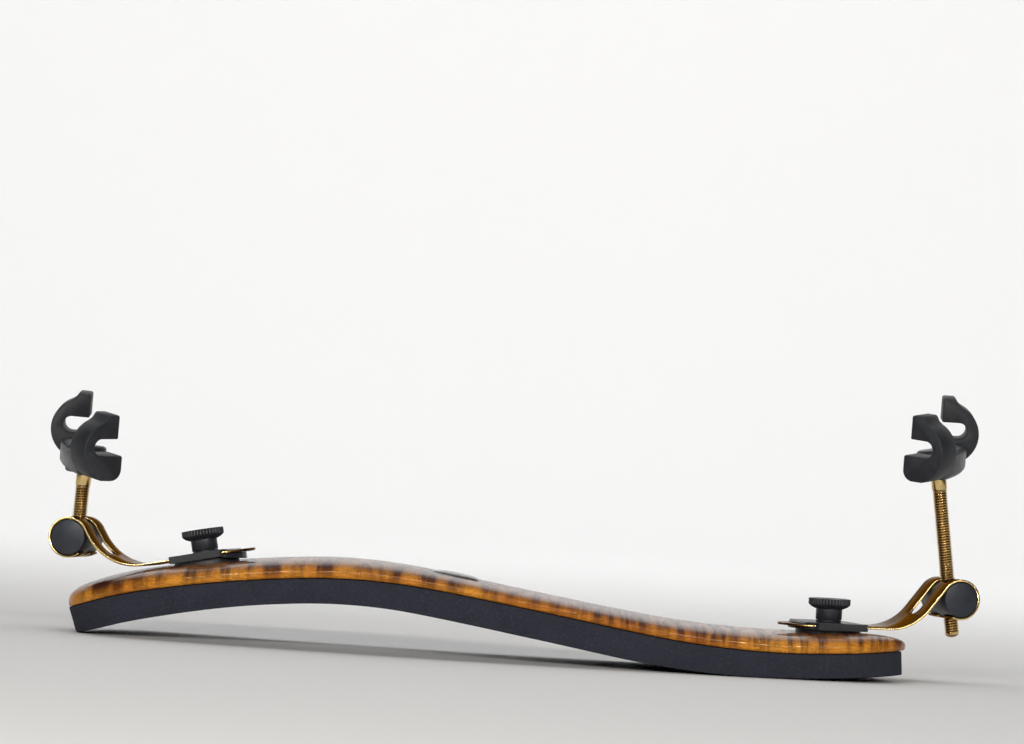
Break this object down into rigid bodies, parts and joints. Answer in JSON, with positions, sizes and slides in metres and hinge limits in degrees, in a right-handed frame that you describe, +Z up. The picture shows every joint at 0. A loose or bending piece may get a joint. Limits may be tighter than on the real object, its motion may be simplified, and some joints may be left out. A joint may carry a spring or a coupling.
{
  "type": "violin shoulder rest",
  "caption": "Arched maple bar on a dark foam pad, with a folding threaded leg at each end that carries a claw of rubber feet to grip a violin's edge.",
  "frame": {"origin": "middle of the box in plan, on the surface that the foam pad stands on at its left tip and right hump", "axes": "+X towards the end with the long leg, +Y towards the violin's scroll, +Z up from the shoulder towards the violin's back"},
  "size_m": [0.2196, 0.0594, 0.067],
  "materials": {
    "maple": "flamed maple, amber-brown gloss varnish",
    "foam": "matt black closed-cell foam",
    "badge": "black gloss, blank",
    "black_plastic": "black satin moulding",
    "black_metal": "black satin anodised",
    "brass": "polished brass",
    "steel": "turned steel",
    "rubber": "matt black rubber"
  },
  "bodies": {
    "base": {"wood_base": "maple", "foam_pad": "foam", "centre_badge": "badge", "left_insert": "brass", "right_insert": "brass"},
    "left_shoe": {"left_guide_shoe": "black_plastic"},
    "left_leg": {"left_leg_strap": "brass"},
    "left_hinge": {"left_barrel": "black_metal"},
    "left_collar": {"left_rod_collar": "brass"},
    "left_claw": {"left_threaded_rod": "brass", "left_yoke": "black_plastic", "left_front_foot": "rubber", "left_rear_foot": "rubber"},
    "left_washer": {"left_clamp_washer": "black_metal"},
    "left_knob": {"left_thumb_knob": "black_plastic", "left_clamp_screw": "steel"},
    "right_shoe": {"right_guide_shoe": "black_plastic"},
    "right_leg": {"right_leg_strap": "brass"},
    "right_hinge": {"right_barrel": "black_metal"},
    "right_collar": {"right_rod_collar": "brass"},
    "right_claw": {"right_threaded_rod": "brass", "right_yoke": "black_plastic", "right_front_foot": "rubber", "right_rear_foot": "rubber"},
    "right_washer": {"right_clamp_washer": "black_metal"},
    "right_knob": {"right_thumb_knob": "black_plastic", "right_clamp_screw": "steel"}
  },
  "joints": [
    {"name": "left_shoe_swivel", "type": "hinge", "parent": "base", "child": "left_shoe", "pos_m": [-0.07029, 0.00031, 0.01801], "axis": [-0.2059, 0.0475, 0.9774], "range_deg": [-10, 10]},
    {"name": "left_leg_slide", "type": "slide", "parent": "left_shoe", "child": "left_leg", "axis": [-0.9524, 0.2199, -0.2113], "range_m": [-0.004, 0.005]},
    {"name": "left_leg_fold", "type": "hinge", "parent": "left_leg", "child": "left_hinge", "pos_m": [-0.10117, 0.00744, 0.0217], "axis": [-0.225, -0.9744, 0], "range_deg": [-35, 8]},
    {"name": "left_claw_height", "type": "slide", "parent": "left_hinge", "child": "left_collar", "axis": [0.0476, -0.011, 0.9988], "range_m": [-0.0042, 0.0036]},
    {"name": "left_claw_turn", "type": "hinge", "parent": "left_collar", "child": "left_claw", "pos_m": [-0.10047, 0.00728, 0.03638], "axis": [0.0476, -0.011, 0.9988], "range_deg": [-2540, 2180]},
    {"name": "left_washer_lift", "type": "slide", "parent": "base", "child": "left_washer", "axis": [-0.2059, 0.0475, 0.9774], "range_m": [0, 0.0014]},
    {"name": "left_knob_turn", "type": "hinge", "parent": "left_washer", "child": "left_knob", "pos_m": [-0.07029, 0.00031, 0.01801], "axis": [-0.2059, 0.0475, 0.9774], "range_deg": [-20, 740]},
    {"name": "right_shoe_swivel", "type": "hinge", "parent": "base", "child": "right_shoe", "pos_m": [0.07471, 0.00256, 0.01066], "axis": [-0.005, -0.0016, 1], "range_deg": [-10, 10]},
    {"name": "right_leg_slide", "type": "slide", "parent": "right_shoe", "child": "right_leg", "axis": [0.951, 0.309, 0.0052], "range_m": [-0.004, 0.005]},
    {"name": "right_leg_fold", "type": "hinge", "parent": "right_leg", "child": "right_hinge", "pos_m": [0.10301, 0.01175, 0.01962], "axis": [-0.309, 0.9511, 0], "range_deg": [-35, 8]},
    {"name": "right_claw_height", "type": "slide", "parent": "right_hinge", "child": "right_collar", "axis": [-0.1504, -0.0489, 0.9874], "range_m": [-0.0084, 0.0072]},
    {"name": "right_claw_turn", "type": "hinge", "parent": "right_collar", "child": "right_claw", "pos_m": [0.09877, 0.01038, 0.04746], "axis": [-0.1504, -0.0489, 0.9874], "range_deg": [-5060, 4340]},
    {"name": "right_washer_lift", "type": "slide", "parent": "base", "child": "right_washer", "axis": [-0.005, -0.0016, 1], "range_m": [0, 0.0014]},
    {"name": "right_knob_turn", "type": "hinge", "parent": "right_washer", "child": "right_knob", "pos_m": [0.07471, 0.00256, 0.01066], "axis": [-0.005, -0.0016, 1], "range_deg": [-20, 740]}
  ],
  "couplings": [
    {"joint": "left_claw_turn", "follows": "left_claw_height", "rad_per_m": 10472},
    {"joint": "left_knob_turn", "follows": "left_washer_lift", "rad_per_m": 8976},
    {"joint": "right_claw_turn", "follows": "right_claw_height", "rad_per_m": 10472},
    {"joint": "right_knob_turn", "follows": "right_washer_lift", "rad_per_m": 8976}
  ]
}
